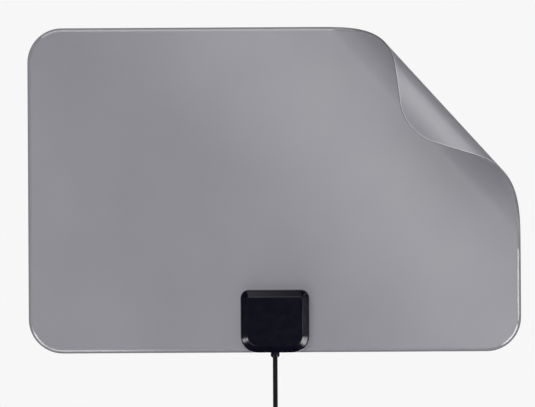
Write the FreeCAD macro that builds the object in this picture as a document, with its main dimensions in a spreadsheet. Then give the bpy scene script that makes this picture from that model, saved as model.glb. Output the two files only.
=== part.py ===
import FreeCAD, Part
import math
import os
import Sketcher
from FreeCAD import Placement, Rotation, Vector

# Indoor television antenna: a laminated sheet with one rolled corner, a small housing
# bonded over its lower edge, and a coaxial lead with an aerial plug.
# Frame: the sheet stands upright with its flat back on y = 0, its front towards -Y,
# +X to the right and +Z up. The origin is the middle of the sheet's back.
# A depth is a distance in front of the back.

doc = FreeCAD.newDocument("IndoorAntenna")
sizes = doc.addObject("Spreadsheet::Sheet", "Sizes")

SIZES = [
    ("sheet_width", 330, "width of the sheet, laid flat"),
    ("sheet_height", 218, "height of the sheet"),
    ("sheet_corner", 23, "radius of the sheet's corners"),
    ("back_film", 0.5, "thickness of the back film"),
    ("rim_film", 0.3, "thickness of the front film at its welded rim"),
    ("panel_rise", 0.4, "how far the front panel stands above the rim"),
    ("rim_width", 1.6, "width of the welded rim"),
    ("foil", 0.2, "thickness of the radiator foils"),
    ("foil_inset", 14, "from the sheet's edge to the foil"),
    ("foil_band", 16, "width of the foil strips"),
    ("foil_gap", 10, "between the two foils at the feed"),
    ("foil_open", 42, "from the middle to the open ends of the foil loops"),
    ("foil_fit", 0.3, "clearance round the foils in their pockets"),
    ("curl_angle", 42.3, "direction across the fold, in degrees above level"),
    ("curl_run", 70, "from the start of the bend to the centre of the rounded corner"),
    ("curl_radius", 27.6, "radius of the bend at the sheet's back"),
    ("curl_turn", 131.5, "angle of the bend, in degrees"),
    ("case_width", 46, "width of the housing"),
    ("case_height", 42, "height of the housing"),
    ("case_wall", 1.5, "wall of the cover"),
    ("bevel_width", 4.6, "width of the bevel round the cover's face"),
    ("bevel_depth", 3, "depth of that bevel"),
    ("face_top_corner", 0.8, "radius of the face's top corners, inside the bevel"),
    ("face_bottom_corner", 6.9, "radius of the face's bottom corners, inside the bevel"),
    ("base_plate", 1.6, "thickness of the base plate"),
    ("fit", 0.1, "clearance between moulded parts that slide together"),
    ("tab_width", 6, "width of the base's snap tabs"),
    ("tab_thickness", 1, "thickness of the snap tabs"),
    ("tab_height", 4, "height of the snap tabs above the base plate"),
    ("tab_level", 24, "height of the middle of the snap tabs in the housing"),
    ("hook", 0.6, "how far a snap hook reaches into the cover's wall"),
    ("hook_height", 1.4, "height of a snap hook"),
    ("post_radius", 2, "radius of the board's posts"),
    ("pilot_radius", 0.7, "radius of the screw holes in the posts"),
    ("board_width", 33, "width of the circuit board"),
    ("board_height", 23, "height of the circuit board"),
    ("board_thickness", 1, "thickness of the circuit board"),
    ("board_level", 7, "height of the board's lower edge in the housing"),
    ("board_margin", 3, "from the board's edges to its post centres"),
    ("notch_height", 4, "height of the board's notch for the lead"),
    ("screw_head_radius", 1.7, "radius of a board screw's head"),
    ("screw_head_height", 1.1, "height of a board screw's head"),
    ("screw_bite", 1.4, "how far a board screw reaches into its post"),
    ("contact_width", 3, "width of a feed contact"),
    ("contact_strip", 0.25, "thickness of a feed contact's strip"),
    ("contact_foot", 3, "length of a feed contact's foot and head"),
    ("contact_level", 12, "height of the feed contacts' legs on the board"),
    ("window_room", 0.6, "room round a feed contact in its window"),
    ("ferrite_width", 7, "width of the balun's ferrite"),
    ("ferrite_height", 6, "height of the balun's ferrite"),
    ("ferrite_depth", 3.4, "thickness of the balun's ferrite"),
    ("ferrite_gap", 4, "from the end of the inner conductor up to the ferrite"),
    ("wire_radius", 0.6, "radius of the balun's winding"),
    ("wire_spacing", 3.2, "between the ferrite's two holes"),
    ("wire_end", 1, "how far the winding stands out of the ferrite"),
    ("chip_width", 2, "width of a chip capacitor"),
    ("chip_height", 1.25, "height of a chip capacitor"),
    ("chip_depth", 0.8, "thickness of a chip capacitor"),
    ("chip_margin", 1.7, "from the chip capacitors up to the board's upper edge"),
    ("chip_spacing", 4, "between the chip capacitors"),
    ("cable_diameter", 3.2, "diameter of the coaxial lead"),
    ("shield_diameter", 2.2, "diameter of the lead's braid"),
    ("dielectric_diameter", 1.5, "diameter of the lead's dielectric"),
    ("core_diameter", 0.5, "diameter of the lead's inner conductor"),
    ("jacket_gap", 2, "from the end of the jacket up to the board"),
    ("dielectric_bared", 2, "length of the dielectric past the braid"),
    ("core_bared", 3.5, "length of the inner conductor past the board's notch"),
    ("collar_diameter", 5.9, "diameter of the strain relief below the housing"),
    ("collar_length", 3.2, "length of the strain relief below the housing"),
    ("collar_chamfer", 0.7, "chamfer at the strain relief's lower end"),
    ("neck_diameter", 4.4, "diameter of the strain relief's neck in the cover's wall"),
    ("flange_diameter", 5.7, "diameter of the strain relief's inner flange"),
    ("flange_length", 1.2, "length of the strain relief's inner flange"),
    ("lead_drop", 40, "straight stretch of lead below the strain relief"),
    ("fold_radius", 9.6, "radius of the hank's inner folds, at the cord's middle"),
    ("hank_run", 61, "straight run of the hank, between its folds"),
    ("hank_laps", 2, "laps of cord side by side in the hank"),
    ("hank_layers", 5, "layers of cord in the hank"),
    ("tie_height", 7, "height of the strap round the hank"),
    ("tie_thickness", 0.8, "thickness of the strap round the hank"),
    ("tail_drop", 10, "stretch of lead between the hank and the plug"),
    ("grip_radius", 5.6, "radius of the plug's grip"),
    ("grip_neck", 3, "radius of the grip's thin end"),
    ("grip_taper", 8, "length of the grip's tapered end"),
    ("grip_length", 25, "whole length of the plug's grip"),
    ("band_start", 2.3, "from the grip's tapered end down to its recessed band"),
    ("band_length", 7.4, "length of the recessed band round the grip"),
    ("band_depth", 0.6, "depth of the recessed band round the grip"),
    ("shell_diameter", 9.525, "diameter of the plug's outer contact"),
    ("shell_wall", 0.5, "wall of the plug's outer contact"),
    ("shell_step", 0.4, "how much thinner the outer contact is inside the grip"),
    ("shell_reach", 9, "how far the outer contact stands out of the grip"),
    ("shell_seat", 7, "how far the outer contact sits in the grip"),
    ("pin_diameter", 2.4, "diameter of the plug's pin"),
    ("insulator_length", 4, "length of the insulator that holds the pin"),
]

for row, (alias, amount, words) in enumerate(SIZES, start=1):
    sizes.set(f"A{row}", words)
    sizes.set(f"B{row}", str(amount))
    sizes.setAlias(f"B{row}", alias)
doc.recompute()

# Places worked out from the sizes, as expressions
CASE_BOTTOM = "(-Sizes.sheet_height / 2)"
FOIL_FRONT = "(Sizes.back_film + Sizes.foil)"
FILM_FRONT = "(Sizes.back_film + Sizes.rim_film + Sizes.panel_rise)"
BASE_FRONT = f"({FILM_FRONT} + Sizes.base_plate)"
BASE_INSET = "(Sizes.case_wall + Sizes.fit)"
CABLE_DEPTH = f"({BASE_FRONT} + Sizes.flange_diameter / 2 + Sizes.fit)"
SHOULDER = f"({CABLE_DEPTH} + Sizes.flange_diameter / 2 + Sizes.fit)"
CASE_FRONT = f"({SHOULDER} + Sizes.bevel_depth)"
WALL_DEPTH = f"({SHOULDER} - {FILM_FRONT})"
BOARD_FRONT = f"({CABLE_DEPTH} - Sizes.core_diameter / 2)"
BOARD_BACK = f"({BOARD_FRONT} - Sizes.board_thickness)"
POST_X = "(Sizes.board_width / 2 - Sizes.board_margin)"
POST_LOW = "(Sizes.board_level + Sizes.board_margin)"
POST_HIGH = "(Sizes.board_level + Sizes.board_height - Sizes.board_margin)"
BOARD_TOP = "(Sizes.board_level + Sizes.board_height)"
NOTCH_TOP = "(Sizes.board_level + Sizes.notch_height)"
JACKET_TOP = "(Sizes.board_level - Sizes.jacket_gap)"
DIELECTRIC_TOP = f"({NOTCH_TOP} - Sizes.fit)"
CORE_TOP = f"({NOTCH_TOP} + Sizes.core_bared)"
FERRITE_LOW = f"({CORE_TOP} + Sizes.ferrite_gap)"
CONTACT_LEG = "(Sizes.board_level + Sizes.contact_level)"
CONTACT_X = "(Sizes.foil_gap / 2 + Sizes.foil_band / 2)"
TAB_OUTSIDE = f"(Sizes.case_width / 2 - {BASE_INSET})"
TAB_LOW = "(Sizes.tab_level - Sizes.tab_width / 2)"
TAB_HIGH = "(Sizes.tab_level + Sizes.tab_width / 2)"
HOOK_TOP = f"({BASE_FRONT} + Sizes.tab_height)"
HOOK_BOTTOM = f"({HOOK_TOP} - Sizes.hook_height)"
WIRE_DEPTH = f"({BOARD_FRONT} + Sizes.ferrite_depth / 2)"
LEAD_END = f"({CASE_BOTTOM} - Sizes.collar_length - Sizes.lead_drop)"
HANK_OUTSIDE = "(Sizes.fold_radius + (Sizes.hank_laps - 0.5) * Sizes.cable_diameter)"
HANK_INSIDE = "(Sizes.fold_radius - Sizes.cable_diameter / 2)"
HANK_HEIGHT = f"(Sizes.hank_run + 2 * {HANK_OUTSIDE})"
HANK_BACK = f"({CABLE_DEPTH} - Sizes.cable_diameter / 2)"
HANK_THICKNESS = "(Sizes.hank_layers * Sizes.cable_diameter)"
HANK_EDGE = "(Sizes.cable_diameter / 3)"
TAIL_DEPTH = f"({CABLE_DEPTH} + (Sizes.hank_layers - 1) * Sizes.cable_diameter)"
TAIL_TOP = f"({LEAD_END} - {HANK_HEIGHT})"
PLUG_TOP = f"({TAIL_TOP} - Sizes.tail_drop)"


def number(expression):
    """Value of an expression in the sheet's sizes."""
    return float(sizes.evalExpression(expression))


# Sketch and feature helpers

def new_body(name, height="0"):
    """Body at a height, named after its piece."""
    body = doc.addObject("PartDesign::Body", name)
    body.Label = name
    body.setExpression("Placement.Base.z", height)
    return body


def new_sketch(body, name, role, offset="0"):
    """Sketch on one of the body's origin planes, moved along the plane's normal."""
    sketch = body.newObject("Sketcher::SketchObject", name)
    plane = [feature for feature in body.Origin.OriginFeatures if feature.Role == role][0]
    sketch.AttachmentSupport = [(plane, "")]
    sketch.MapMode = "FlatFace"
    sketch.setExpression("AttachmentOffset.Base.z", offset)
    return sketch


def hold(sketch, kind, geometry, expression):
    """Dimension in a sketch, bound to an expression."""
    index = sketch.addConstraint(Sketcher.Constraint(kind, *geometry, number(expression)))
    sketch.setExpression(f"Constraints[{index}]", expression)


def hold_point(sketch, geometry, end, place):
    """Hold one point of a sketch's geometry at a place from the sketch's origin."""
    hold(sketch, "DistanceX", (-1, 1, geometry, end), place[0])
    hold(sketch, "DistanceY", (-1, 1, geometry, end), place[1])


def tangent_arc(start, stop, heading):
    """Arc from start to stop that leaves along a heading, and which of its ends is the start."""
    side = Vector(-heading.y, heading.x, 0).normalize()
    chord = stop - start
    radius = chord.dot(chord) / (2 * chord.dot(side))
    centre = start + side * radius
    first, last = (start, stop) if radius > 0 else (stop, start)
    angles = [math.atan2(place.y - centre.y, place.x - centre.x) for place in (first, last)]
    circle = Part.Circle(centre, Vector(0, 0, 1), abs(radius))
    return Part.ArcOfCircle(circle, *angles), (1 if radius > 0 else 2)


def draw_outline(sketch, points):
    """Closed outline through points; a third item, "arc", says that an arc leaves the point."""
    places = [Vector(number(point[0]), number(point[1]), 0) for point in points]
    edges = []
    for index, point in enumerate(points):
        stop = places[(index + 1) % len(points)]
        if "arc" in point:
            arc, near = tangent_arc(places[index], stop, places[index] - places[index - 1])
            edges.append((sketch.addGeometry(arc), near, 3 - near))
        else:
            edges.append((sketch.addGeometry(Part.LineSegment(places[index], stop)), 1, 2))
    for index, point in enumerate(points):
        before, near, far = edges[index - 1]
        edge, start, end = edges[index]
        joint = "Tangent" if "arc" in point else "Coincident"
        sketch.addConstraint(Sketcher.Constraint(joint, before, far, edge, start))
        held = (before, far) if "arc" in point else (edge, start)
        hold_point(sketch, *held, point)


def draw_box(sketch, left, right, low, high):
    """Rectangle between four expressions."""
    draw_outline(sketch, [(left, low), (right, low), (right, high), (left, high)])


def draw_circle(sketch, x, y, radius):
    """Circle at a place, with a radius."""
    circle = Part.Circle(Vector(number(x), number(y), 0), Vector(0, 0, 1), number(radius))
    geometry = sketch.addGeometry(circle)
    hold_point(sketch, geometry, 3, (x, y))
    hold(sketch, "Radius", (geometry,), radius)


def extrude(body, kind, sketch, length, flipped=False):
    """Pad or pocket of a sketch."""
    feature = body.newObject(f"PartDesign::{kind}", f"{sketch.Name}_{kind}")
    feature.Profile = sketch
    feature.setExpression("Length", length)
    feature.Reversed = flipped
    return feature


def loft(body, kind, first, last):
    """Straight-sided loft from one sketch to another."""
    feature = body.newObject(f"PartDesign::{kind}", f"{first.Name}_{kind}")
    feature.Profile = first
    feature.Sections = [last]
    feature.Ruled = True
    return feature


def revolve(body, sketch):
    """Full turn of a sketch about its upright axis."""
    feature = body.newObject("PartDesign::Revolution", f"{sketch.Name}_turned")
    feature.Profile = sketch
    feature.ReferenceAxis = (sketch, ["V_Axis"])
    feature.Angle = 360
    return feature


def primitive(kind, name, bindings):
    """Part primitive with its properties bound to expressions."""
    solid = doc.addObject(f"Part::{kind}", name)
    for target, expression in bindings.items():
        solid.setExpression(target, expression)
    return solid


def join(name, solids):
    """Union of primitives, named after its piece."""
    union = doc.addObject("Part::MultiFuse", name)
    union.Label = name
    union.Shapes = solids
    return union


# The sheet: flat outlines, and the bend that rolls the corner towards the viewer

ACROSS_ANGLE = math.radians(number("Sizes.curl_angle"))
ACROSS = Vector(math.cos(ACROSS_ANGLE), 0, math.sin(ACROSS_ANGLE))
ALONG = Vector(-math.sin(ACROSS_ANGLE), 0, math.cos(ACROSS_ANGLE))
FRONT = Vector(0, -1, 0)
BEND_RADIUS = number("Sizes.curl_radius")
BEND_TURN = math.radians(number("Sizes.curl_turn"))
CORNER_CENTRE = Vector(
    number("Sizes.sheet_width / 2 - Sizes.sheet_corner"),
    0,
    number("Sizes.sheet_height / 2 - Sizes.sheet_corner"),
)
BEND_START = CORNER_CENTRE.dot(ACROSS) - number("Sizes.curl_run")
BEND_STOP = BEND_START + BEND_RADIUS * BEND_TURN
BEND_AXIS = ACROSS * BEND_START + FRONT * BEND_RADIUS
BEYOND = number("Sizes.sheet_width + Sizes.sheet_height")
# Ruled faces join edges that run the same way
SAME_WAY = 1


def sheet_outline(inset):
    """Face of the sheet's rounded outline, drawn in by an inset, on the sheet's back."""
    width = number("Sizes.sheet_width") - 2 * inset
    height = number("Sizes.sheet_height") - 2 * inset
    radius = number("Sizes.sheet_corner") - inset
    plate = Part.makeBox(width, 1, height, Vector(-width / 2, 0, -height / 2))
    upright = [edge for edge in plate.Edges if abs(edge.tangentAt(edge.FirstParameter).y) > 0.5]
    rounded = plate.makeFillet(radius, upright)
    return [face for face in rounded.Faces if face.CenterOfMass.y < 1e-6][0]


def foil_outline(side):
    """Face of one radiator's loop, open at the bottom beside the feed, on the sheet's back."""
    inner = number("Sizes.foil_gap / 2")
    outer = number("Sizes.sheet_width / 2 - Sizes.foil_inset")
    top = number("Sizes.sheet_height / 2 - Sizes.foil_inset")
    band = number("Sizes.foil_band")
    opening = number("Sizes.foil_open")
    corners = [
        (inner, -top),
        (inner, top),
        (outer, top),
        (outer, -top),
        (opening, -top),
        (opening, band - top),
        (outer - band, band - top),
        (outer - band, top - band),
        (inner + band, top - band),
        (inner + band, -top),
    ]
    points = [Vector(side * x, 0, z) for x, z in corners]
    return Part.Face(Part.makePolygon(points + points[:1]))


def strip_of(face, start, stop):
    """The faces left of a flat face between two lines along the fold."""
    corners = [(start, -BEYOND), (stop, -BEYOND), (stop, BEYOND), (start, BEYOND)]
    points = [ACROSS * across + ALONG * along for across, along in corners]
    return face.common(Part.Face(Part.makePolygon(points + points[:1]))).Faces


def bend_cylinder(depth):
    """Cylinder that a layer at a depth follows round the bend."""
    cylinder = Part.Cylinder()
    cylinder.Radius = BEND_RADIUS - depth
    turn = Rotation(-FRONT, ACROSS, (-FRONT).cross(ACROSS), "XYZ")
    cylinder.transform(Placement(BEND_AXIS, turn).toMatrix())
    return cylinder


def bent_edges(strip, cylinder):
    """A straight-edged strip's edges, wrapped onto a cylinder."""
    places = []
    for vertex in strip.OuterWire.OrderedVertexes:
        turned = (vertex.Point.dot(ACROSS) - BEND_START) / BEND_RADIUS
        places.append(FreeCAD.Base.Vector2d(turned, -vertex.Point.dot(ALONG)))
    lines = [Part.Geom2d.Line2dSegment(*ends) for ends in zip(places, places[1:] + places[:1])]
    return [line.toShape(cylinder) for line in lines]


def bent_strip(strip, back, front):
    """Solid of the part of a layer that lies in the bend."""
    faces = []
    rings = []
    for depth in (back, front):
        cylinder = bend_cylinder(depth)
        edges = bent_edges(strip, cylinder)
        face = Part.Face(cylinder, Part.Wire(edges))
        face.validate()
        faces.append(face)
        rings.append(edges)
    faces += [Part.makeRuledSurface(*pair, SAME_WAY) for pair in zip(*rings)]
    shell = Part.Compound(faces)
    shell.sewShape()
    solid = Part.Solid(shell.Shells[0])
    if solid.Volume < 0:
        solid.reverse()
    return solid


def curled(face, back, front):
    """Solid of a flat outline between two depths, rolled with the sheet's corner."""
    solids = []
    for piece in strip_of(face, -BEYOND, BEND_START):
        flat = piece.extrude(FRONT * (front - back))
        flat.translate(FRONT * back)
        solids.append(flat)
    for piece in strip_of(face, BEND_START, BEND_STOP):
        solids.append(bent_strip(piece, back, front))
    for piece in strip_of(face, BEND_STOP, BEYOND):
        flap = piece.extrude(FRONT * (front - back))
        flap.translate(FRONT * back + ACROSS * (BEND_START - BEND_STOP))
        flap.rotate(BEND_AXIS, (-FRONT).cross(ACROSS), math.degrees(BEND_TURN))
        solids.append(flap)
    return solids[0].fuse(solids[1:]).removeSplitter()


def film_piece(name, shape):
    """Document object for one layer of the sheet."""
    layer = doc.addObject("Part::Feature", name)
    layer.Label = name
    layer.Shape = shape
    layer.Placement = Placement()
    return layer


def make_back_film():
    """Plain back of the sheet."""
    return film_piece("back_film", curled(sheet_outline(0), 0, number("Sizes.back_film")))


def make_front_film():
    """Front of the sheet: a flat rim, a raised panel, foil pockets and two feed windows."""
    back = number("Sizes.back_film")
    rim = number("Sizes.back_film + Sizes.rim_film")
    panel = number(FILM_FRONT)
    room = number("Sizes.foil_fit")
    flange = curled(sheet_outline(0), back, rim)
    raised = curled(sheet_outline(number("Sizes.rim_width")), rim, panel)
    film = flange.fuse(raised)
    for side in (-1, 1):
        pocket = foil_outline(side).makeOffset2D(room, 2)
        film = film.cut(curled(pocket, 0, number(FOIL_FRONT)))
    width = number("Sizes.contact_width + 2 * Sizes.window_room")
    height = number("Sizes.contact_foot + 2 * Sizes.window_room")
    low = number(f"{CASE_BOTTOM} + {CONTACT_LEG} - Sizes.contact_foot - Sizes.window_room")
    for side in (-1, 1):
        corner = Vector(side * number(CONTACT_X) - width / 2, -panel, low)
        film = film.cut(Part.makeBox(width, panel, height, corner))
    return film_piece("front_film", film.removeSplitter())


def make_radiator(name, side):
    """Foil loop between the films."""
    shape = curled(foil_outline(side), number("Sizes.back_film"), number(FOIL_FRONT))
    return film_piece(name, shape)


# The housing

def case_outline(inset):
    """Points of the housing's outline, drawn in from its walls by an inset."""
    half = f"(Sizes.case_width / 2 - {inset})"
    top = f"(Sizes.case_height - {inset})"
    high = f"(Sizes.face_top_corner + Sizes.bevel_width - {inset})"
    low = f"(Sizes.face_bottom_corner + Sizes.bevel_width - {inset})"
    return [
        (f"-{half} + {low}", f"{inset}"),
        (f"{half} - {low}", f"{inset}", "arc"),
        (half, f"{inset} + {low}"),
        (half, f"{top} - {high}", "arc"),
        (f"{half} - {high}", top),
        (f"-{half} + {high}", top, "arc"),
        (f"-{half}", f"{top} - {high}"),
        (f"-{half}", f"{inset} + {low}", "arc"),
    ]


def case_sketch(body, name, depth, inset):
    """Sketch of the housing's outline at a depth."""
    sketch = new_sketch(body, name, "XZ_Plane", depth)
    draw_outline(sketch, case_outline(inset))
    return sketch


def slot_outline(half):
    """Points of a round-ended slot, from the film's front out to the lead."""
    return [
        (f"-{half}", f"-{FILM_FRONT}"),
        (f"-{half}", f"-{CABLE_DEPTH}", "arc"),
        (half, f"-{CABLE_DEPTH}"),
        (half, f"-{FILM_FRONT}"),
    ]


def make_cover():
    """Bevelled shell, open at the back, with a slot for the lead and recesses for the hooks."""
    body = new_body("housing_cover", CASE_BOTTOM)
    outside = case_sketch(body, "cover_outside", FILM_FRONT, "0")
    extrude(body, "Pad", outside, WALL_DEPTH)
    shoulder = case_sketch(body, "cover_shoulder", SHOULDER, "0")
    face = case_sketch(body, "cover_face", CASE_FRONT, "Sizes.bevel_width")
    loft(body, "AdditiveLoft", shoulder, face)
    hollow = case_sketch(body, "cover_hollow", FILM_FRONT, "Sizes.case_wall")
    extrude(body, "Pocket", hollow, WALL_DEPTH, True)
    inner_shoulder = case_sketch(body, "cover_inner_shoulder", SHOULDER, "Sizes.case_wall")
    ceiling = case_sketch(body, "cover_ceiling", f"{CASE_FRONT} - Sizes.case_wall", "Sizes.bevel_width")
    loft(body, "SubtractiveLoft", inner_shoulder, ceiling)
    slot = new_sketch(body, "cover_slot", "XY_Plane")
    draw_outline(slot, slot_outline("(Sizes.neck_diameter / 2 + Sizes.fit)"))
    extrude(body, "Pocket", slot, "Sizes.case_wall + Sizes.fit", True)
    recess = new_sketch(body, "cover_recesses", "XZ_Plane", f"{HOOK_BOTTOM} - Sizes.fit")
    inside = "(Sizes.case_width / 2 - Sizes.case_wall)"
    low = f"{TAB_LOW} - Sizes.fit"
    high = f"{TAB_HIGH} + Sizes.fit"
    draw_box(recess, f"{inside} - Sizes.fit", f"{inside} + Sizes.hook", low, high)
    draw_box(recess, f"-{inside} - Sizes.hook", f"-{inside} + Sizes.fit", low, high)
    extrude(body, "Pocket", recess, "Sizes.hook_height + 2 * Sizes.fit", True)
    return body


def make_base():
    """Plate bonded to the film, with posts, snap tabs, a saddle for the lead and two windows."""
    body = new_body("housing_base", CASE_BOTTOM)
    plate = case_sketch(body, "base_outline", FILM_FRONT, BASE_INSET)
    extrude(body, "Pad", plate, "Sizes.base_plate")
    posts = new_sketch(body, "base_posts", "XZ_Plane", BASE_FRONT)
    for side in ("-", ""):
        for level in (POST_LOW, POST_HIGH):
            draw_circle(posts, side + POST_X, level, "Sizes.post_radius")
    extrude(body, "Pad", posts, f"{BOARD_BACK} - {BASE_FRONT}")
    tabs = new_sketch(body, "base_tabs", "XZ_Plane", BASE_FRONT)
    draw_box(tabs, f"{TAB_OUTSIDE} - Sizes.tab_thickness", TAB_OUTSIDE, TAB_LOW, TAB_HIGH)
    draw_box(tabs, f"-{TAB_OUTSIDE}", f"-{TAB_OUTSIDE} + Sizes.tab_thickness", TAB_LOW, TAB_HIGH)
    extrude(body, "Pad", tabs, "Sizes.tab_height")
    hooks = new_sketch(body, "base_hooks", "XY_Plane", TAB_LOW)
    for side in ("-", ""):
        root = f"{side}{TAB_OUTSIDE}"
        tip = f"{side}({TAB_OUTSIDE} + Sizes.hook)"
        draw_outline(hooks, [(root, f"-{HOOK_BOTTOM}"), (tip, f"-{HOOK_BOTTOM}"), (root, f"-{HOOK_TOP}")])
    extrude(body, "Pad", hooks, "Sizes.tab_width")
    saddle = new_sketch(body, "base_saddle", "XZ_Plane", FILM_FRONT)
    draw_box(saddle, "-Sizes.neck_diameter / 2", "Sizes.neck_diameter / 2", "0", "2 * Sizes.case_wall")
    extrude(body, "Pad", saddle, f"{CABLE_DEPTH} - {FILM_FRONT} - Sizes.fit")
    groove = new_sketch(body, "base_groove", "XY_Plane")
    draw_circle(groove, "0", f"-{CABLE_DEPTH}", "Sizes.neck_diameter / 2")
    extrude(body, "Pocket", groove, "Sizes.case_wall", True)
    clear = new_sketch(body, "base_flange_room", "XY_Plane", "Sizes.case_wall")
    draw_circle(clear, "0", f"-{CABLE_DEPTH}", "Sizes.flange_diameter / 2 + Sizes.fit / 2")
    extrude(body, "Pocket", clear, "2 * Sizes.case_wall", True)
    windows = new_sketch(body, "base_windows", "XZ_Plane", BASE_FRONT)
    half = "(Sizes.contact_width / 2 + Sizes.window_room)"
    low = f"{CONTACT_LEG} - Sizes.contact_foot - Sizes.window_room"
    high = f"{CONTACT_LEG} + Sizes.window_room"
    for side in ("-", ""):
        draw_box(windows, f"{side}{CONTACT_X} - {half}", f"{side}{CONTACT_X} + {half}", low, high)
    extrude(body, "Pocket", windows, "Sizes.base_plate")
    pilots = new_sketch(body, "base_pilots", "XZ_Plane", BOARD_BACK)
    for side in ("-", ""):
        draw_circle(pilots, side + POST_X, POST_LOW, "Sizes.pilot_radius")
    extrude(body, "Pocket", pilots, "Sizes.screw_bite")
    return body


def make_board():
    """Circuit board with a notch for the lead and two screw holes."""
    body = new_body("circuit_board", CASE_BOTTOM)
    sketch = new_sketch(body, "board_outline", "XZ_Plane", BOARD_BACK)
    half = "(Sizes.board_width / 2)"
    notch = "(Sizes.shield_diameter / 2 + Sizes.fit)"
    low = "Sizes.board_level"
    draw_outline(sketch, [
        (notch, low),
        (half, low),
        (half, BOARD_TOP),
        (f"-{half}", BOARD_TOP),
        (f"-{half}", low),
        (f"-{notch}", low),
        (f"-{notch}", NOTCH_TOP),
        (notch, NOTCH_TOP),
    ])
    for side in ("-", ""):
        draw_circle(sketch, side + POST_X, POST_LOW, "Sizes.pilot_radius")
    extrude(body, "Pad", sketch, "Sizes.board_thickness")
    return body


def make_screws():
    """The two screws that hold the board to its lower posts."""
    solids = []
    for name, side in (("left", "-"), ("right", "")):
        place = {
            "Placement.Base.x": side + POST_X,
            "Placement.Base.z": f"{CASE_BOTTOM} + {POST_LOW}",
            "Placement.Rotation.Axis.x": "1",
            "Placement.Rotation.Axis.z": "0",
            "Placement.Rotation.Angle": "90 deg",
        }
        shank = dict(place)
        shank["Radius"] = "Sizes.pilot_radius"
        shank["Height"] = "Sizes.board_thickness + Sizes.screw_bite"
        shank["Placement.Base.y"] = f"-{BOARD_BACK} + Sizes.screw_bite"
        head = dict(place)
        head["Radius"] = "Sizes.screw_head_radius"
        head["Height"] = "Sizes.screw_head_height"
        head["Placement.Base.y"] = f"-{BOARD_FRONT}"
        solids.append(primitive("Cylinder", f"screw_shank_{name}", shank))
        solids.append(primitive("Cylinder", f"screw_head_{name}", head))
    return join("board_screws", solids)


def make_contact(name, side):
    """Strip bent twice: its foot rests on the foil and its head under the board."""
    body = new_body(name, CASE_BOTTOM)
    sketch = new_sketch(body, f"{name}_strip", "YZ_Plane", f"{side}{CONTACT_X} - Sizes.contact_width / 2")
    leg = CONTACT_LEG
    strip = "Sizes.contact_strip"
    draw_outline(sketch, [
        (f"-{FOIL_FRONT}", f"{leg} - Sizes.contact_foot"),
        (f"-{FOIL_FRONT}", leg),
        (f"-{BOARD_BACK} + {strip}", leg),
        (f"-{BOARD_BACK} + {strip}", f"{leg} + Sizes.contact_foot"),
        (f"-{BOARD_BACK}", f"{leg} + Sizes.contact_foot"),
        (f"-{BOARD_BACK}", f"{leg} - {strip}"),
        (f"-{FOIL_FRONT} - {strip}", f"{leg} - {strip}"),
        (f"-{FOIL_FRONT} - {strip}", f"{leg} - Sizes.contact_foot"),
    ])
    extrude(body, "Pad", sketch, "Sizes.contact_width")
    return body


def make_ferrite():
    """Two-hole ferrite on the board."""
    body = new_body("balun_core", CASE_BOTTOM)
    sketch = new_sketch(body, "ferrite_section", "XY_Plane", FERRITE_LOW)
    half = "(Sizes.ferrite_width / 2)"
    draw_box(sketch, f"-{half}", half, f"-{BOARD_FRONT} - Sizes.ferrite_depth", f"-{BOARD_FRONT}")
    for side in ("-", ""):
        draw_circle(sketch, f"{side}Sizes.wire_spacing / 2", f"-{WIRE_DEPTH}", "Sizes.wire_radius")
    extrude(body, "Pad", sketch, "Sizes.ferrite_height")
    return body


def make_winding():
    """Wire hairpin through the ferrite's holes, crossing over on top of it."""
    low = f"({CASE_BOTTOM} + {FERRITE_LOW} - Sizes.wire_end)"
    length = "(Sizes.ferrite_height + Sizes.wire_end + Sizes.wire_radius)"
    solids = []
    for name, side in (("left", "-"), ("right", "")):
        solids.append(primitive("Cylinder", f"winding_leg_{name}", {
            "Radius": "Sizes.wire_radius",
            "Height": length,
            "Placement.Base.x": f"{side}Sizes.wire_spacing / 2",
            "Placement.Base.y": f"-{WIRE_DEPTH}",
            "Placement.Base.z": low,
        }))
    solids.append(primitive("Cylinder", "winding_bridge", {
        "Radius": "Sizes.wire_radius",
        "Height": "Sizes.wire_spacing",
        "Placement.Base.x": "-Sizes.wire_spacing / 2",
        "Placement.Base.y": f"-{WIRE_DEPTH}",
        "Placement.Base.z": f"{low} + {length}",
        "Placement.Rotation.Axis.y": "1",
        "Placement.Rotation.Axis.z": "0",
        "Placement.Rotation.Angle": "90 deg",
    }))
    return join("balun_winding", solids)


def make_chips():
    """Row of chip capacitors along the board's upper edge."""
    chips = []
    for index in (-1, 0, 1):
        chips.append(primitive("Box", f"chip_{index + 2}", {
            "Length": "Sizes.chip_width",
            "Width": "Sizes.chip_depth",
            "Height": "Sizes.chip_height",
            "Placement.Base.x": f"{index} * Sizes.chip_spacing - Sizes.chip_width / 2",
            "Placement.Base.y": f"-{BOARD_FRONT} - Sizes.chip_depth",
            "Placement.Base.z": f"{CASE_BOTTOM} + {BOARD_TOP} - Sizes.chip_margin - Sizes.chip_height",
        }))
    return join("chip_capacitors", chips)


# The lead and its plug

def turned_piece(name, height, depth, profile):
    """Turned piece on an upright axis at a depth, from points of radius and height."""
    body = new_body(name, height)
    sketch = new_sketch(body, f"{name}_profile", "XZ_Plane", depth)
    draw_outline(sketch, profile)
    revolve(body, sketch)
    return body


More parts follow.
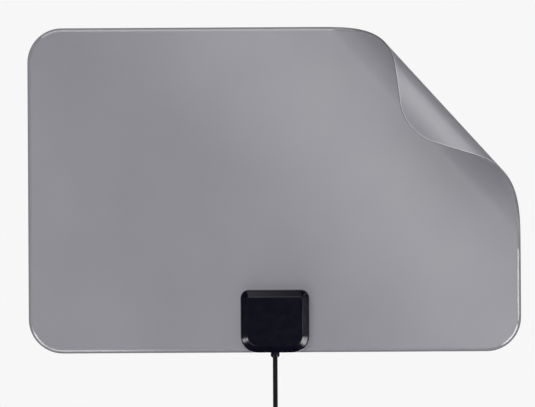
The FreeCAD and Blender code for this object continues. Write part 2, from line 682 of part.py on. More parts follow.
def make_strain_relief():
    """Grommet: a collar below the housing, a neck in its wall and a flange inside."""
    bore = "(Sizes.cable_diameter / 2)"
    collar = "(Sizes.collar_diameter / 2)"
    neck = "(Sizes.neck_diameter / 2)"
    flange = "(Sizes.flange_diameter / 2)"
    top = "(Sizes.case_wall + Sizes.flange_length)"
    return turned_piece("strain_relief", CASE_BOTTOM, CABLE_DEPTH, [
        (bore, "-Sizes.collar_length"),
        (f"{collar} - Sizes.collar_chamfer", "-Sizes.collar_length"),
        (collar, "-Sizes.collar_length + Sizes.collar_chamfer"),
        (collar, "0"),
        (neck, "0"),
        (neck, "Sizes.case_wall"),
        (flange, "Sizes.case_wall"),
        (flange, top),
        (bore, top),
    ])


def make_cord(name, depth, low, length, outer, inner=None):
    """Straight round stretch of the lead, or one of its layers."""
    body = new_body(name, low)
    sketch = new_sketch(body, f"{name}_section", "XY_Plane")
    draw_circle(sketch, "0", f"-{depth}", f"{outer} / 2")
    if inner:
        draw_circle(sketch, "0", f"-{depth}", f"{inner} / 2")
    extrude(body, "Pad", sketch, length)
    return body


def make_lead():
    """Lead from the hank up into the housing, and its stripped end."""
    jacket = f"({CASE_BOTTOM} + {JACKET_TOP})"
    shield_length = f"{DIELECTRIC_TOP} - Sizes.dielectric_bared - {JACKET_TOP}"
    outer = "Sizes.cable_diameter"
    shield = "Sizes.shield_diameter"
    dielectric = "Sizes.dielectric_diameter"
    core = "Sizes.core_diameter"
    make_cord("cable_lead", CABLE_DEPTH, LEAD_END, f"{jacket} - {LEAD_END}", outer)
    make_cord("cable_shield", CABLE_DEPTH, jacket, shield_length, shield, dielectric)
    make_cord("cable_dielectric", CABLE_DEPTH, jacket, f"{DIELECTRIC_TOP} - {JACKET_TOP}", dielectric, core)
    make_cord("cable_core", CABLE_DEPTH, jacket, f"{CORE_TOP} - {JACKET_TOP}", core)
    make_cord("cable_tail", TAIL_DEPTH, PLUG_TOP, "Sizes.tail_drop", outer)


def loop_outline(half):
    """Points of the hank's loop at a distance from its upright middle line."""
    low = f"{HANK_OUTSIDE} - {HANK_HEIGHT}"
    high = f"-{HANK_OUTSIDE}"
    return [(half, low), (half, high, "arc"), (f"-{half}", high), (f"-{half}", low, "arc")]


def make_hank():
    """Outer shape of the put-away cord: a long ring with its outer edges broken."""
    body = new_body("cable_hank", LEAD_END)
    sketch = new_sketch(body, "hank_loop", "XZ_Plane", HANK_BACK)
    draw_outline(sketch, loop_outline(HANK_OUTSIDE))
    draw_outline(sketch, loop_outline(HANK_INSIDE))
    ring = extrude(body, "Pad", sketch, HANK_THICKNESS)
    doc.recompute()
    middle = number(f"({HANK_INSIDE} + {HANK_OUTSIDE}) / 2")
    rims = []
    for index, edge in enumerate(ring.Shape.Edges, start=1):
        level = abs(edge.tangentAt(edge.FirstParameter).y) < 0.5
        if level and abs(edge.Vertexes[0].X) > middle:
            rims.append(f"Edge{index}")
    broken = body.newObject("PartDesign::Chamfer", "hank_edges")
    broken.Base = (ring, rims)
    broken.setExpression("Size", HANK_EDGE)
    return body


def make_tie():
    """Strap round the middle of the hank."""
    middle = f"({LEAD_END} - {HANK_HEIGHT} / 2)"
    body = new_body("cable_tie", f"{middle} - Sizes.tie_height / 2")
    sketch = new_sketch(body, "tie_band", "XY_Plane")
    for grown in ("Sizes.fit", "(Sizes.fit + Sizes.tie_thickness)"):
        half = f"({HANK_OUTSIDE} + {grown})"
        back = f"(-{HANK_BACK} + {grown})"
        front = f"(-{HANK_BACK} - {HANK_THICKNESS} - {grown})"
        corner = f"({HANK_EDGE} + {grown})"
        draw_outline(sketch, [
            (f"-{half} + {corner}", front),
            (f"{half} - {corner}", front, "arc"),
            (half, f"{front} + {corner}"),
            (half, f"{back} - {corner}", "arc"),
            (f"{half} - {corner}", back),
            (f"-{half} + {corner}", back, "arc"),
            (f"-{half}", f"{back} - {corner}"),
            (f"-{half}", f"{front} + {corner}", "arc"),
        ])
    extrude(body, "Pad", sketch, "Sizes.tie_height")
    return body


def make_grip():
    """Tapered grip, bored for the outer contact, with a recessed band for the fingers."""
    seat = "(Sizes.shell_diameter / 2 - Sizes.shell_step)"
    wide = "Sizes.grip_radius"
    waist = f"({wide} - Sizes.band_depth)"
    bottom = "(-Sizes.grip_length)"
    band_top = "(-Sizes.grip_taper - Sizes.band_start)"
    band_low = f"({band_top} - Sizes.band_length)"
    return turned_piece("plug_grip", PLUG_TOP, TAIL_DEPTH, [
        ("0", "0"),
        ("0", f"{bottom} + Sizes.shell_seat"),
        (seat, f"{bottom} + Sizes.shell_seat"),
        (seat, bottom),
        (wide, bottom),
        (wide, band_low),
        (waist, band_low),
        (waist, band_top),
        (wide, band_top),
        (wide, "-Sizes.grip_taper"),
        ("Sizes.grip_neck", "0"),
    ])


def make_plug_contacts():
    """Outer contact, the insulator in it and the pin that the insulator holds."""
    top = "(Sizes.shell_seat - Sizes.grip_length)"
    mouth = "(-Sizes.grip_length)"
    bottom = "(-Sizes.grip_length - Sizes.shell_reach)"
    outer = "(Sizes.shell_diameter / 2)"
    inner = f"({outer} - Sizes.shell_wall)"
    waist = f"({outer} - Sizes.shell_step)"
    bore = f"({waist} - Sizes.shell_wall)"
    pin = "(Sizes.pin_diameter / 2)"
    seat = f"({top} - Sizes.insulator_length)"
    turned_piece("plug_shell", PLUG_TOP, TAIL_DEPTH, [
        (inner, bottom),
        (outer, bottom),
        (outer, mouth),
        (waist, mouth),
        (waist, top),
        (bore, top),
        (bore, f"{mouth} - Sizes.shell_wall"),
        (inner, f"{mouth} - Sizes.shell_wall"),
    ])
    turned_piece("plug_insulator", PLUG_TOP, TAIL_DEPTH, [(pin, seat), (bore, seat), (bore, top), (pin, top)])
    turned_piece("plug_pin", PLUG_TOP, TAIL_DEPTH, [
        ("0", bottom),
        (f"{pin} / 2", bottom),
        (pin, f"{bottom} + {pin}"),
        (pin, top),
        ("0", top),
    ])


make_back_film()
make_front_film()
make_radiator("radiator_left", -1)
make_radiator("radiator_right", 1)
make_base()
make_cover()
make_board()
make_screws()
make_contact("feed_contact_left", "-")
make_contact("feed_contact_right", "")
make_ferrite()
make_winding()
make_chips()
make_strain_relief()
make_lead()
make_hank()
make_tie()
make_grip()
make_plug_contacts()
doc.recompute()

NODES = [
    "back_film", "front_film", "radiator_left", "radiator_right",
    "housing_base", "housing_cover", "circuit_board", "board_screws",
    "feed_contact_left", "feed_contact_right", "balun_core", "balun_winding", "chip_capacitors",
    "strain_relief", "cable_lead", "cable_shield", "cable_dielectric", "cable_core",
    "cable_hank", "cable_tie", "cable_tail", "plug_grip", "plug_shell", "plug_insulator", "plug_pin",
]

failed = [item.Label for item in doc.Objects if "Invalid" in item.State or "Error" in item.State]
pieces = {name: doc.getObjectsByLabel(name)[0].Shape for name in NODES}
failed += [name for name, shape in pieces.items() if shape.isNull() or not shape.isValid()]
if failed:
    raise RuntimeError("failed: " + ", ".join(failed))

os.makedirs("parts", exist_ok=True)
for name, shape in pieces.items():
    shape.exportStep(f"parts/{name}.step")
    print(name, len(shape.Solids), round(shape.Volume, 2))
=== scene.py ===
import math

import bmesh
import bpy
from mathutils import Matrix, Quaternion, Vector


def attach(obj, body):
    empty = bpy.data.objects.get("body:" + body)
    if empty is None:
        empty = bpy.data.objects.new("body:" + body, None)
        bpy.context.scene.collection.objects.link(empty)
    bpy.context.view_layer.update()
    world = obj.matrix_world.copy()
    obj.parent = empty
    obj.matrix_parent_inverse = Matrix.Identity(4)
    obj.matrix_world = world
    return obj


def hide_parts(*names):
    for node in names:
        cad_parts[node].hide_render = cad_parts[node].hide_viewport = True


# Looks of the indoor antenna. Lengths are in millimetres, as in the part's source, and those of
# the lamps and the floor in metres. The front is towards -Y, and a depth is a distance in front
# of the sheet's back.

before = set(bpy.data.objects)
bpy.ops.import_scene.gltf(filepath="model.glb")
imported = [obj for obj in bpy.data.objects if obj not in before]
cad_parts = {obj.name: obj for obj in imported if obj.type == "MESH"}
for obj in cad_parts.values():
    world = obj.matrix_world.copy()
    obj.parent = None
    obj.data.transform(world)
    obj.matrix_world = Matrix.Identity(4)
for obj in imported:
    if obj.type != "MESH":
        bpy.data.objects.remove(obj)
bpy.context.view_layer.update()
MM = 0.001
CLOSE = 1e-4
FRONT = Vector((0, -1, 0))
SHARP_ANGLE = math.radians(38)
CORNER_SEGMENTS = 14
LATHE_STEPS = 48

# Sizes of the sheet, shared with the part's source
SHEET = (330, 218)
SHEET_CORNER = 23
BACK_FILM = 0.5
RIM_FRONT = 0.8
FILM_FRONT = 1.2
FOLD_ANGLE = math.radians(42.3)
FOLD_RADIUS = 27.6
FOLD_TURN = math.radians(131.5)
FOLD_RUN = 70
ACROSS = Vector((math.cos(FOLD_ANGLE), 0, math.sin(FOLD_ANGLE)))
ALONG = Vector((-math.sin(FOLD_ANGLE), 0, math.cos(FOLD_ANGLE)))
CORNER = Vector((SHEET[0] / 2 - SHEET_CORNER, 0, SHEET[1] / 2 - SHEET_CORNER))
BEND_START = CORNER.dot(ACROSS) - FOLD_RUN
BEND_STOP = BEND_START + FOLD_RADIUS * FOLD_TURN

# Details of the sheet that only the looks have
RIM_FLAT = 1.15
STEP_WIDTH = 1.2
STEP_EASE = STEP_WIDTH / 8
EDGE_LINE = 0.6
FOLD_CUTS = 44
# Places in a film's list of materials
PANEL, EDGE, BAND = range(3)
# How far the film's surface turns beside the fold: from, to (across the fold) and degrees
CURLS = [
    (-110, 50, 21), (45, 140, 13), (93, 100, -15), (100, 113, -17), (113, 142, -3), (150, 186, 24),
]

# Sizes of the housing, shared with the part's source
CASE = (46, 42)
CASE_WALL = 1.5
CASE_BOTTOM = -109
SHOULDER = 8.7
BEVEL = (4.6, 3)
TOP_CORNER = 5.4
BOTTOM_CORNER = 11.5
# Radius and segments of the cover's softened edges
FACE_EDGE = (0.2, 2)
SHOULDER_EDGE = (1.1, 5)

# Sizes of the lead, its hank and its plug, shared with the part's source
CABLE = 3.2
CABLE_DEPTH = 5.75
LEAD_START = -104.5
EXIT = -112.2
HANK_TOP = -152.2
HANK_RUN = 61
HANK_RADII = (9.6, 12.8)
UPPER_TURN = HANK_TOP - HANK_RADII[1] - CABLE / 2
LAYERS = [CABLE_DEPTH + CABLE * index for index in range(5)]
PLUG_TOP = -252
STRAP_REACH = 15.3
STRAP_DEPTHS = (3.25, 21.05)
STRAP_HEIGHT = 7
STRAP_WALL = 0.8
# Radius and segments of the strap's corners and of its softened edges
STRAP_CORNER = (2, 6)
STRAP_EDGE = (0.2, 2)
# Degrees between the control points of a turn of the hank
TURN_STEP = 30
# Straight length that the lead keeps beside a bend, and above and inside the plug
LEAD_STRAIGHT = 12
PLUG_STRAIGHT = 10
PLUG_HOLD = 3
# Control points where the lead joins the hank, below its top, and leaves it, above the plug
HANK_ENTRY = (28, 46)
HANK_LEAVING = (46, 29)


# Camera

CAMERA_PLACE = (-4.56, -3000, -9.18)
CAMERA_ROLL = 0.0056
LENS = 301.1


def make_camera():
    """Camera straight in front of the sheet, as far back as the photograph's flat view needs."""
    data = bpy.data.cameras.new("camera")
    data.sensor_width = 36
    data.lens = LENS
    data.clip_end = 50
    camera = bpy.data.objects.new("camera", data)
    bpy.context.scene.collection.objects.link(camera)
    camera.location = Vector(CAMERA_PLACE) * MM
    camera.rotation_euler = (math.pi / 2, CAMERA_ROLL, 0)
    bpy.context.scene.camera = camera


# Materials

def plug_in(tree, value, socket):
    """Link an output to an input, or set the input's value."""
    if isinstance(value, bpy.types.NodeSocket):
        tree.links.new(value, socket)
    else:
        socket.default_value = value


def add_node(tree, kind, inputs=None, **settings):
    """New node with its settings and its inputs, which are values or other nodes' outputs."""
    node = tree.nodes.new(f"ShaderNode{kind}")
    for name, value in settings.items():
        setattr(node, name, value)
    for socket, value in (inputs or {}).items():
        plug_in(tree, value, node.inputs[socket])
    return node


class Shader:
    """Node material on object coordinates, with one principled shader."""

    def __init__(self, name, **constants):
        self.material = bpy.data.materials.new(name)
        self.material.use_nodes = True
        self.tree = self.material.node_tree
        self.surface = self.tree.nodes["Principled BSDF"]
        self.place = self.node("TexCoord").outputs["Object"]
        for socket, value in constants.items():
            self.surface.inputs[socket.replace("_", " ")].default_value = value

    def node(self, kind, inputs=None, **settings):
        """New node of this material."""
        return add_node(self.tree, kind, inputs, **settings)

    def noise(self, size, detail, place=None):
        """Noise whose features are about a size, in millimetres."""
        inputs = {"Vector": place or self.place, "Scale": 1 / (size * MM), "Detail": detail}
        return self.node("TexNoise", inputs).outputs["Fac"]

    def spread(self, value, low, high, start=0.3, stop=0.7):
        """A value mapped from start and stop, between which noise mostly lies, to low and high."""
        inputs = {
            "Value": value, "From Min": start, "From Max": stop, "To Min": low, "To Max": high,
        }
        return self.node("MapRange", inputs).outputs["Result"]

    def tint(self, factor, first, last):
        """Colour between two colours."""
        inputs = {"Factor": factor, "A": (*first, 1), "B": (*last, 1)}
        return self.node("Mix", inputs, data_type="RGBA").outputs["Result"]

    def bump(self, height, distance, normal=None):
        """Bump of a height, whose full range is a distance in millimetres."""
        inputs = {"Height": height, "Distance": distance * MM}
        if normal:
            inputs["Normal"] = normal
        return self.node("Bump", inputs).outputs["Normal"]

    def finish(self, **inputs):
        """Link the shader's inputs and give the material."""
        for socket, value in inputs.items():
            plug_in(self.tree, value, self.surface.inputs[socket.replace("_", " ")])
        return self.material


def moulded(name, dark, light, roughness, grain, depth, **constants):
    """Moulded plastic or rubber: a fine grain, faint clouds of colour and uneven gloss."""
    shader = Shader(name, **constants)
    fine = shader.noise(size=grain, detail=2)
    clouds = shader.noise(size=grain * 25, detail=4)
    return shader.finish(
        Base_Color=shader.tint(shader.spread(clouds, 0, 1), dark, light),
        Roughness=shader.spread(clouds, *roughness),
        Normal=shader.bump(fine, depth),
    )


def metal(name, dark, light, roughness):
    """Plated or drawn metal with fine lines round it and small stains."""
    shader = Shader(name, Metallic=1.0)
    mapping = shader.node("Mapping", {"Vector": shader.place, "Scale": (1, 1, 14)})
    lines = shader.noise(size=1.2, detail=4, place=mapping.outputs["Vector"])
    stains = shader.noise(size=3, detail=4)
    return shader.finish(
        Base_Color=shader.tint(shader.spread(stains, 0, 1), dark, light),
        Roughness=shader.spread(lines, *roughness),
        Normal=shader.bump(lines, distance=0.01),
    )


def film(name, dark, light, roughness):
    """Satin film with a fine grain, whose shading follows its gentle curl beside the fold."""
    shader = Shader(name)
    across = shader.node("Attribute", attribute_name="across").outputs["Fac"]
    curl = None
    for start, stop, angle in CURLS:
        ramp = shader.spread(across, 0, math.radians(angle), start, stop)
        if curl:
            ramp = shader.node("Math", {0: curl, 1: ramp}, operation="ADD").outputs["Value"]
        curl = ramp
    facing = shader.node("NewGeometry").outputs["Normal"]
    bent = shader.node("VectorRotate", {"Vector": facing, "Axis": -ALONG, "Angle": curl})
    fine = shader.noise(size=0.35, detail=2)
    clouds = shader.noise(size=60, detail=3)
    return shader.finish(
        Base_Color=shader.tint(shader.spread(clouds, 0, 1), dark, light),
        Roughness=shader.spread(fine, *roughness),
        Normal=shader.bump(fine, distance=0.006, normal=bent.outputs["Vector"]),
    )


# Mesh helpers

def new_piece(name, bm, materials, nodes):
    """Piece from a mesh in millimetres, in place of some CAD nodes."""
    bmesh.ops.recalc_face_normals(bm, faces=bm.faces)
    bmesh.ops.scale(bm, vec=(MM, MM, MM), verts=bm.verts)
    mesh = bpy.data.meshes.new(name)
    bm.to_mesh(mesh)
    bm.free()
    mesh.shade_smooth()
    mesh.set_sharp_from_angle(angle=SHARP_ANGLE)
    piece = bpy.data.objects.new(name, mesh)
    bpy.context.scene.collection.objects.link(piece)
    for material in materials:
        mesh.materials.append(material)
    normals = piece.modifiers.new("normals", "WEIGHTED_NORMAL")
    normals.keep_sharp = True
    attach(piece, "root")
    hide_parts(*nodes)
    return piece


def round_off(bm, parts, radius, segments, affect="EDGES"):
    """Rounded edges, or rounded corners of a face where affect is VERTICES."""
    bmesh.ops.bevel(
        bm, geom=parts, offset=radius, offset_type="OFFSET", segments=segments,
        profile=0.5, affect=affect, material=-1,
    )


def rounded_face(bm, width, low, high, depth, corners):
    """Upright rectangle with rounded corners, given from the lower left round to the upper left."""
    half = width / 2
    places = [(-half, low), (half, low), (half, high), (-half, high)]
    verts = [bm.verts.new((x, -depth, z)) for x, z in places]
    bm.faces.new(verts)
    for vert, radius in zip(verts, corners):
        round_off(bm, [vert], radius, CORNER_SEGMENTS, affect="VERTICES")
    return bm.faces[:][0]


def grow(bm, faces, move):
    """Faces moved off their place, with walls that follow them; gives the moved faces."""
    grown = bmesh.ops.extrude_face_region(bm, geom=faces)["geom"]
    verts = [item for item in grown if isinstance(item, bmesh.types.BMVert)]
    bmesh.ops.translate(bm, vec=move, verts=verts)
    return [item for item in grown if isinstance(item, bmesh.types.BMFace)]


def step_in(bm, face, width, height):
    """Sloped step from a face's edge up to a smaller face."""
    bmesh.ops.recalc_face_normals(bm, faces=bm.faces)
    bmesh.ops.inset_region(bm, faces=[face], thickness=width, use_even_offset=True)
    bmesh.ops.translate(bm, vec=FRONT * height, verts=face.verts[:])


def at_depth(items, depth):
    """Edges or faces that lie at a depth."""
    return [item for item in items if all(abs(vert.co.y + depth) < CLOSE for vert in item.verts)]


def lathe(profile, depth):
    """Turned mesh on an upright axis at a depth, from points of radius and height."""
    bm = bmesh.new()
    verts = [bm.verts.new((radius, -depth, height)) for radius, height in profile]
    edges = [bm.edges.new(pair) for pair in zip(verts, verts[1:])]
    bmesh.ops.spin(
        bm, geom=verts + edges, cent=(0, -depth, 0), axis=(0, 0, 1), angle=2 * math.pi,
        steps=LATHE_STEPS, use_merge=True, use_duplicate=False,
    )
    bmesh.ops.remove_doubles(bm, verts=bm.verts, dist=CLOSE)
    return bm


# The sheet

def roll_corner(bm):
    """Cut a flat sheet along its fold and roll its corner towards the front."""
    layer = bm.verts.layers.float.new("across")
    for index in range(FOLD_CUTS + 1):
        place = ACROSS * (BEND_START + (BEND_STOP - BEND_START) * index / FOLD_CUTS)
        whole = bm.verts[:] + bm.edges[:] + bm.faces[:]
        bmesh.ops.bisect_plane(bm, geom=whole, plane_co=place, plane_no=ACROSS)
    for vert in bm.verts:
        across = vert.co.dot(ACROSS)
        vert[layer] = across
        radius = FOLD_RADIUS + vert.co.y
        turn = min(max((across - BEND_START) / FOLD_RADIUS, 0), FOLD_TURN)
        past = max(across - BEND_STOP, 0)
        if turn > 0:
            moved = BEND_START + radius * math.sin(turn) + past * math.cos(turn)
            depth = FOLD_RADIUS - radius * math.cos(turn) + past * math.sin(turn)
            vert.co = ACROSS * moved + ALONG * vert.co.dot(ALONG) + FRONT * depth


def film_blank(bm, depth, thickness):
    """Flat film between two depths; gives its back face and its front face."""
    width, height = SHEET
    back = rounded_face(bm, width, -height / 2, height / 2, depth, [SHEET_CORNER] * 4)
    front = grow(bm, [back], FRONT * thickness)[0]
    # Walls and faces start with the edge's darker grey, which is partly painted shade
    for wall in bm.faces:
        wall.material_index = EDGE
    return back, front


def make_back_film(material, edge, line):
    """Plain film on the sheet's back, which is the outside of the rolled corner."""
    bm = bmesh.new()
    back, _ = film_blank(bm, 0, BACK_FILM)
    # The band round the edge takes the lighter grey, which is partly a painted highlight
    back.material_index = BAND
    step_in(bm, back, EDGE_LINE, 0)
    back.material_index = PANEL
    roll_corner(bm)
    new_piece("sheet_back", bm, [material, edge, line], ["back_film"])


def make_front_film(material, edge, weld):
    """Front film: a flat welded rim and a raised panel with a soft step between them."""
    bm = bmesh.new()
    _, face = film_blank(bm, BACK_FILM, RIM_FRONT - BACK_FILM)
    step_in(bm, face, RIM_FLAT, 0)
    face.material_index = BAND
    rise = (FILM_FRONT - RIM_FRONT) / (STEP_WIDTH - STEP_EASE)
    middle = STEP_WIDTH - 2 * STEP_EASE
    for width, slope in ((STEP_EASE, rise / 2), (middle, rise), (STEP_EASE, rise / 2)):
        step_in(bm, face, width, width * slope)
    face.material_index = PANEL
    roll_corner(bm)
    new_piece("sheet_front", bm, [material, edge, weld], ["front_film"])


# The housing

def make_cover(material):
    """Bevelled cover shell with softened edges."""
    bm = bmesh.new()
    corners = [BOTTOM_CORNER, BOTTOM_CORNER, TOP_CORNER, TOP_CORNER]
    back = rounded_face(bm, CASE[0], CASE_BOTTOM, CASE_BOTTOM + CASE[1], FILM_FRONT, corners)
    face = grow(bm, [back], FRONT * (SHOULDER - FILM_FRONT))[0]
    step_in(bm, face, *BEVEL)
    round_off(bm, at_depth(bm.edges, SHOULDER + BEVEL[1]), *FACE_EDGE)
    round_off(bm, at_depth(bm.edges, SHOULDER), *SHOULDER_EDGE)
    bmesh.ops.delete(bm, geom=at_depth(bm.faces, FILM_FRONT), context="FACES_ONLY")
    bmesh.ops.recalc_face_normals(bm, faces=bm.faces)
    bmesh.ops.solidify(bm, geom=bm.faces[:], thickness=CASE_WALL)
    new_piece("cover", bm, [material], ["housing_cover"])


# The lead and its plug

def half_turn(end, radius, depth):
    """Control points of a half turn of the hank, at its bottom or its top."""
    points = []
    start, middle = (180, UPPER_TURN - HANK_RUN) if end == "bottom" else (0, UPPER_TURN)
    reach = radius / math.cos(math.radians(TURN_STEP / 2))
    for step in range(TURN_STEP // 2, 180, TURN_STEP):
        angle = math.radians(start + step)
        points.append((reach * math.cos(angle), -depth, middle + reach * math.sin(angle)))
    return points


def lead_route():
    """Control points of the lead: straight down, into the hank, round it and out to the plug."""
    inner, outer = HANK_RADII
    first, last = LAYERS[0], LAYERS[-1]
    straight = [LEAD_START, EXIT - LEAD_STRAIGHT, HANK_TOP, HANK_TOP - LEAD_STRAIGHT]
    points = [(0, -first, height) for height in straight]
    points += [(-inner, -first, HANK_TOP - drop) for drop in HANK_ENTRY]
    points += half_turn("bottom", inner, first)
    laps = [(inner, outer), (outer, inner), (inner, outer)]
    for depth, pair in zip(LAYERS[1:-1], laps):
        for radius in pair:
            points += half_turn("top", radius, depth)
            points += half_turn("bottom", radius, depth)
    points += half_turn("top", outer, last)
    low = PLUG_TOP + PLUG_STRAIGHT
    points += [(-outer, -last, low + rise) for rise in HANK_LEAVING]
    points += [(0, -last, height) for height in (low + LEAD_STRAIGHT, low, PLUG_TOP - PLUG_HOLD)]
    return points


def turned(name, profile, depth, material, node):
    """Turned piece in place of a CAD node."""
    return new_piece(name, lathe(profile, depth), [material], [node])


def make_collar(material):
    """Strain relief under the housing, with its edges rounded."""
    bore = CABLE / 2
    return turned("collar", [
        (bore, EXIT), (2.1, EXIT), (2.35, -112.12), (2.8, -111.65), (2.92, -111.35), (2.95, -111),
        (2.95, -109.2), (2.85, -109.03), (2.2, -109), (2.2, -107.5), (2.85, -107.5), (2.85, -106.3),
        (bore, -106.3), (bore, EXIT),
    ], CABLE_DEPTH, material, "strain_relief")


def make_plug(soft, plated, rigid):
    """Push-on aerial plug: grooved grip, outer contact, insulator and pin, all below its top."""
    depth = LAYERS[-1]
    grip = [(0, 0), (2.6, 0), (2.9, -0.12), (3.1, -0.4), (5.4, -7.7), (5.55, -8.1), (5.6, -8.6)]
    groove = [(5.6, 0.85), (5.52, 0.74), (5.08, 0.66), (5, 0.5)]
    for middle in (-11, -14, -17):
        grip += [(radius, middle + height) for radius, height in groove]
        grip += [(radius, middle - height) for radius, height in reversed(groove)]
    grip += [(5.6, -24.3), (5.5, -24.8), (5.2, -25), (4.3625, -25), (4.3625, -18), (0, -18)]
    shell = [
        (4.2625, -34), (4.5, -34), (4.7, -33.9), (4.7625, -33.7), (4.7625, -25.1), (4.7, -25),
        (4.3625, -25), (4.3625, -18), (3.8625, -18), (3.8625, -25.5), (4.2625, -25.5),
        (4.2625, -34),
    ]
    disc = [(1.2, -22), (3.8625, -22), (3.8625, -18), (1.2, -18), (1.2, -22)]
    pin = [(0, -34), (0.45, -34), (0.7, -33.9), (1.08, -33.2), (1.2, -32.7), (1.2, -18), (0, -18)]
    pieces = []
    for name, profile, material, slot, node in (
        ("grip", grip, soft, "housing", "plug_grip"),
        ("outer_contact", shell, plated, "plug_metal", "plug_shell"),
        ("insulator", disc, rigid, "dielectric", "plug_insulator"),
        ("pin", pin, plated, "plug_metal", "plug_pin"),
    ):
        placed = [(radius, PLUG_TOP + height) for radius, height in profile]
        pieces.append(turned(name, placed, depth, material, node))
    return pieces


def make_strap(material):
    """Strap round the middle of the hank."""
    bm = bmesh.new()
    low = UPPER_TURN - HANK_RUN / 2 - STRAP_HEIGHT / 2
    near, far = STRAP_DEPTHS
    left, right = -STRAP_REACH, STRAP_REACH
    places = [(left, -far), (right, -far), (right, -near), (left, -near)]
    verts = [bm.verts.new((x, y, low)) for x, y in places]
    bm.faces.new(verts)
    round_off(bm, verts, *STRAP_CORNER, affect="VERTICES")
    face = bm.faces[:][0]
    bmesh.ops.inset_region(
        bm, faces=[face], thickness=STRAP_WALL, use_boundary=True, use_even_offset=True,
    )
    bmesh.ops.delete(bm, geom=[face], context="FACES_ONLY")
    grow(bm, bm.faces[:], (0, 0, STRAP_HEIGHT))
    rims = [
        edge for edge in bm.edges
        if edge.calc_face_angle(0) > SHARP_ANGLE
        and abs(edge.verts[0].co.z - edge.verts[1].co.z) < STRAP_HEIGHT / 2
    ]
    round_off(bm, rims, *STRAP_EDGE)
    return new_piece("strap", bm, [material], ["cable_tie"])


def make_lead(material):
    """Coaxial lead, as one smooth curve."""
    curve = bpy.data.curves.new("lead", "CURVE")
    curve.dimensions = "3D"
    curve.bevel_depth = CABLE / 2 * MM
    curve.bevel_resolution = 5
    curve.resolution_u = 6
    curve.use_fill_caps = True
    spline = curve.splines.new("NURBS")
    points = lead_route()
    spline.points.add(len(points) - 1)
    for point, place in zip(spline.points, points):
        point.co = (*(Vector(place) * MM), 1)
    spline.order_u = 3
    spline.use_endpoint_u = True
    lead = bpy.data.objects.new("lead", curve)
    bpy.context.scene.collection.objects.link(lead)
    curve.materials.append(material)
    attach(lead, "root")
    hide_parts("cable_lead", "cable_hank", "cable_tail")


# Light and background

# Strengths of the world: the backdrop, the room's own light, and the room in reflections
BACKDROP = 0.93
ROOM = 0.12
ROOM_MIRRORED = 0.012
# How nearly backwards a reflection looks where the backdrop begins and where it is full
BACKDROP_EDGE = (0.9, 0.99)
FLOOR_RADIUS = 4
FLOOR_HEIGHT = -1.2
FLOOR_FADE = (1.5, 3.9)
STRIP_TURN = math.radians(62.6)


def beside_fold(across, along, forwards):
    """Direction given across and along the fold and forwards."""
    return ACROSS * across + ALONG * along + FRONT * forwards


# Name, direction, distance, size, power in watts and roll of each lamp
LAMPS = [
    ("key", (-0.16, -0.87, 0.46), 5, (3.2, 3.2), 88),
    ("right", (0.757, -0.651, -0.02), 1.5, (0.12, 0.4), 1.9),
    ("left", (-0.754, -0.652, 0), 1.5, (0.2, 0.6), 0.15),
    ("under", (0, -0.69, -0.725), 1.5, (0.6, 0.2), 0.1),
    ("left_corner", (-0.59, -0.66, -0.47), 1.5, (0.9, 0.12), 2.2, -STRIP_TURN),
    ("right_corner", (0.59, -0.66, -0.47), 1.5, (0.9, 0.16), 3.7, STRIP_TURN),
    ("overhead", (-0.11, -0.466, 0.878), 0.55, (0.1, 0.14), 0.068),
    ("low_left", (-0.828, -0.407, -0.386), 1.3, (0.2, 0.28), 2),
    ("low_right", (0.828, -0.407, -0.386), 1.3, (0.2, 0.28), 2.7),
    ("glint", (0.8, -0.404, -0.444), 1.3, (0.2, 0.65), 4.9),
    ("sheen", beside_fold(-0.611, -0.14, 0.779), 1.6, (0.4, 1.1), 5, FOLD_ANGLE),
    ("over_fold", beside_fold(0.985, 0, 0.174), 1.5, (0.5, 0.5), 6.6),
    ("behind_left", (-0.6, 0.75, 0.28), 2, (1, 1), 16),
    ("behind_low", (0.1, 0.93, -0.35), 2, (1, 1), 16),
]
# Lamps that don't show in reflections, lamps that show nowhere else, and lamps without a shadow
FLOODS = ("low_right",)
GLINTS = ("glint",)
FILLS = ("right", "left_corner", "right_corner", "low_left", "low_right", "sheen")


def make_lamp(name, direction, distance, size, power, roll=0):
    """Soft rectangular lamp that faces the sheet's middle from a direction."""
    towards = Vector(direction).normalized()
    data = bpy.data.lights.new(name, "AREA")
    data.shape = "RECTANGLE"
    data.size, data.size_y = size
    data.energy = power
    data.use_shadow = name not in FILLS
    lamp = bpy.data.objects.new(name, data)
    bpy.context.scene.collection.objects.link(lamp)
    lamp.visible_camera = False
    lamp.visible_glossy = name not in FLOODS
    lamp.visible_diffuse = name not in GLINTS
    lamp.location = towards * distance
    turn = (-towards).to_track_quat("-Z", "Y") @ Quaternion((0, 0, 1), roll)
    lamp.rotation_euler = turn.to_euler()


def make_world():
    """Dim studio whose pale backdrop the camera sees all round and reflections see behind."""
    world = bpy.data.worlds.new("studio")
    bpy.context.scene.world = world
    world.use_nodes = True
    tree = world.node_tree
    path = add_node(tree, "LightPath").outputs
    place = add_node(tree, "TexCoord").outputs["Generated"]
    facing = add_node(tree, "SeparateXYZ", {"Vector": place}).outputs["Y"]
    behind = add_node(tree, "MapRange", {
        "Value": facing, "From Min": BACKDROP_EDGE[0], "From Max": BACKDROP_EDGE[1],
        "To Min": ROOM_MIRRORED, "To Max": BACKDROP,
    }, interpolation_type="SMOOTHSTEP").outputs["Result"]
    mirrored = add_node(tree, "Math", {
        0: path["Is Glossy Ray"], 1: path["Is Transmission Ray"],
    }, operation="MAXIMUM").outputs["Value"]
    lit = add_node(tree, "Mix", {
        "Factor": mirrored, "A": ROOM, "B": behind,
    }, data_type="FLOAT").outputs["Result"]
    shown = add_node(tree, "Mix", {
        "Factor": path["Is Camera Ray"], "A": lit, "B": BACKDROP,
    }, data_type="FLOAT").outputs["Result"]
    background = tree.nodes["Background"].inputs
    tree.links.new(shown, background["Strength"])
    background["Color"].default_value = (1, 1, 1, 1)


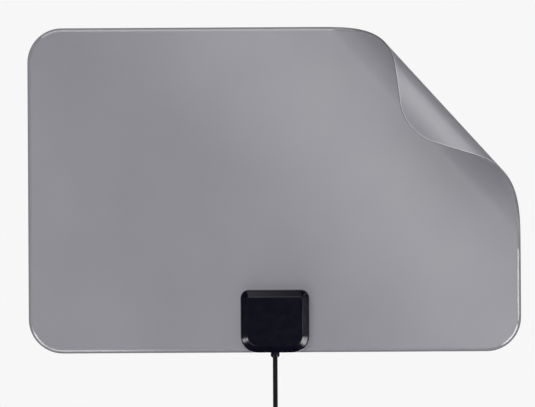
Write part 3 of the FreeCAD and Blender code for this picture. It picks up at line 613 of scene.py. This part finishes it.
def make_floor():
    """Pale floor well below the antenna, whose rim fades out."""
    bm = bmesh.new()
    bmesh.ops.create_circle(bm, cap_ends=True, radius=FLOOR_RADIUS, segments=64)
    bmesh.ops.translate(bm, vec=(0, 0, FLOOR_HEIGHT), verts=bm.verts)
    mesh = bpy.data.meshes.new("floor")
    bm.to_mesh(mesh)
    bm.free()
    floor = bpy.data.objects.new("floor", mesh)
    bpy.context.scene.collection.objects.link(floor)
    shader = Shader("floor", Roughness=0.9, Specular_IOR_Level=0.1)
    clouds = shader.noise(size=400, detail=2)
    reach = shader.node("VectorMath", {0: shader.place}, operation="LENGTH").outputs["Value"]
    mesh.materials.append(shader.finish(
        Base_Color=shader.tint(shader.spread(clouds, 0, 1), (0.84, 0.84, 0.84), (0.86, 0.86, 0.86)),
        Alpha=shader.spread(reach, 1, 0, *FLOOR_FADE),
    ))
    floor.visible_glossy = False


# The whole scene

make_camera()

# Dark and light colour, least and most roughness, then the grain's size and depth
rubber = moulded(
    "rubber", (0.003, 0.0028, 0.0045), (0.0045, 0.0042, 0.006), (0.42, 0.5), 0.25, 0.008,
    Specular_IOR_Level=0.15,
)
plastic = moulded(
    "black_plastic", (0.0018, 0.0016, 0.007), (0.0026, 0.0024, 0.0085), (0.2, 0.24), 0.2, 0.003,
)
front_grey = film("front_film", (0.255, 0.25, 0.28), (0.275, 0.27, 0.297), (0.28, 0.34))
back_grey = film("back_film", (0.27, 0.265, 0.297), (0.29, 0.285, 0.315), (0.36, 0.42))
nickel = metal("nickel", (0.62, 0.6, 0.56), (0.72, 0.7, 0.66), (0.18, 0.32))
# Darker grey of the films' flat rim and edge walls: partly the welded rim's own tone, partly
# painted shade of edges that turn away from the light
rim_grey_and_shade = moulded("film_rim_and_shade", (0.19, 0.185, 0.2), (0.205, 0.2, 0.215), (0.3, 0.36), 0.35, 0.004)
weld_grey = moulded(
    "film_weld", (0.255, 0.25, 0.275), (0.275, 0.27, 0.29), (0.08, 0.12), 0.35, 0.0004,
    IOR=1.6, Specular_IOR_Level=0.7,
)
# Lighter grey of a thin band round the back film's edge: partly a paler weld line, partly a painted
# highlight of the edge catching the light
line_grey_and_highlight = moulded("film_line_and_highlight", (0.5, 0.49, 0.52), (0.56, 0.55, 0.58), (0.35, 0.45), 0.35, 0.004)
white = moulded("white_plastic", (0.68, 0.67, 0.64), (0.76, 0.75, 0.72), (0.4, 0.5), 0.3, 0.006)
webbing = moulded("webbing", (0.008, 0.008, 0.01), (0.02, 0.02, 0.023), (0.75, 0.9), 0.5, 0.12)
foil = metal("foil", (0.8, 0.8, 0.81), (0.88, 0.88, 0.89), (0.2, 0.35))
copper = metal("copper", (0.72, 0.38, 0.22), (0.84, 0.48, 0.3), (0.2, 0.35))
bronze = metal("bronze", (0.66, 0.48, 0.25), (0.76, 0.57, 0.32), (0.2, 0.35))
board = moulded("board", (0.012, 0.09, 0.035), (0.018, 0.12, 0.05), (0.25, 0.35), 0.4, 0.01)
ferrite = moulded("ferrite", (0.03, 0.03, 0.032), (0.05, 0.05, 0.052), (0.6, 0.75), 0.2, 0.02)
ceramic = moulded("ceramic", (0.42, 0.3, 0.19), (0.5, 0.37, 0.25), (0.4, 0.5), 0.3, 0.008)

strap = make_strap(webbing)
collar = make_collar(plastic)
plug = make_plug(rubber, nickel, white)
make_lead(rubber)
make_back_film(back_grey, rim_grey_and_shade, line_grey_and_highlight)
make_front_film(front_grey, rim_grey_and_shade, weld_grey)
make_cover(plastic)

# Pieces inside the housing and the sheet keep their CAD shapes
for material, names in (
    (plastic, ["housing_base"]),
    (foil, ["radiator_left", "radiator_right", "cable_shield"]),
    (board, ["circuit_board"]),
    (nickel, ["board_screws"]),
    (bronze, ["feed_contact_left", "feed_contact_right"]),
    (ferrite, ["balun_core"]),
    (copper, ["balun_winding", "cable_core"]),
    (ceramic, ["chip_capacitors"]),
    (white, ["cable_dielectric"]),
):
    for name in names:
        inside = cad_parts[name].data
        inside.materials.clear()
        inside.materials.append(material)

make_world()
make_floor()
for lamp in LAMPS:
    make_lamp(*lamp)

bpy.context.scene.view_settings.view_transform = "Standard"
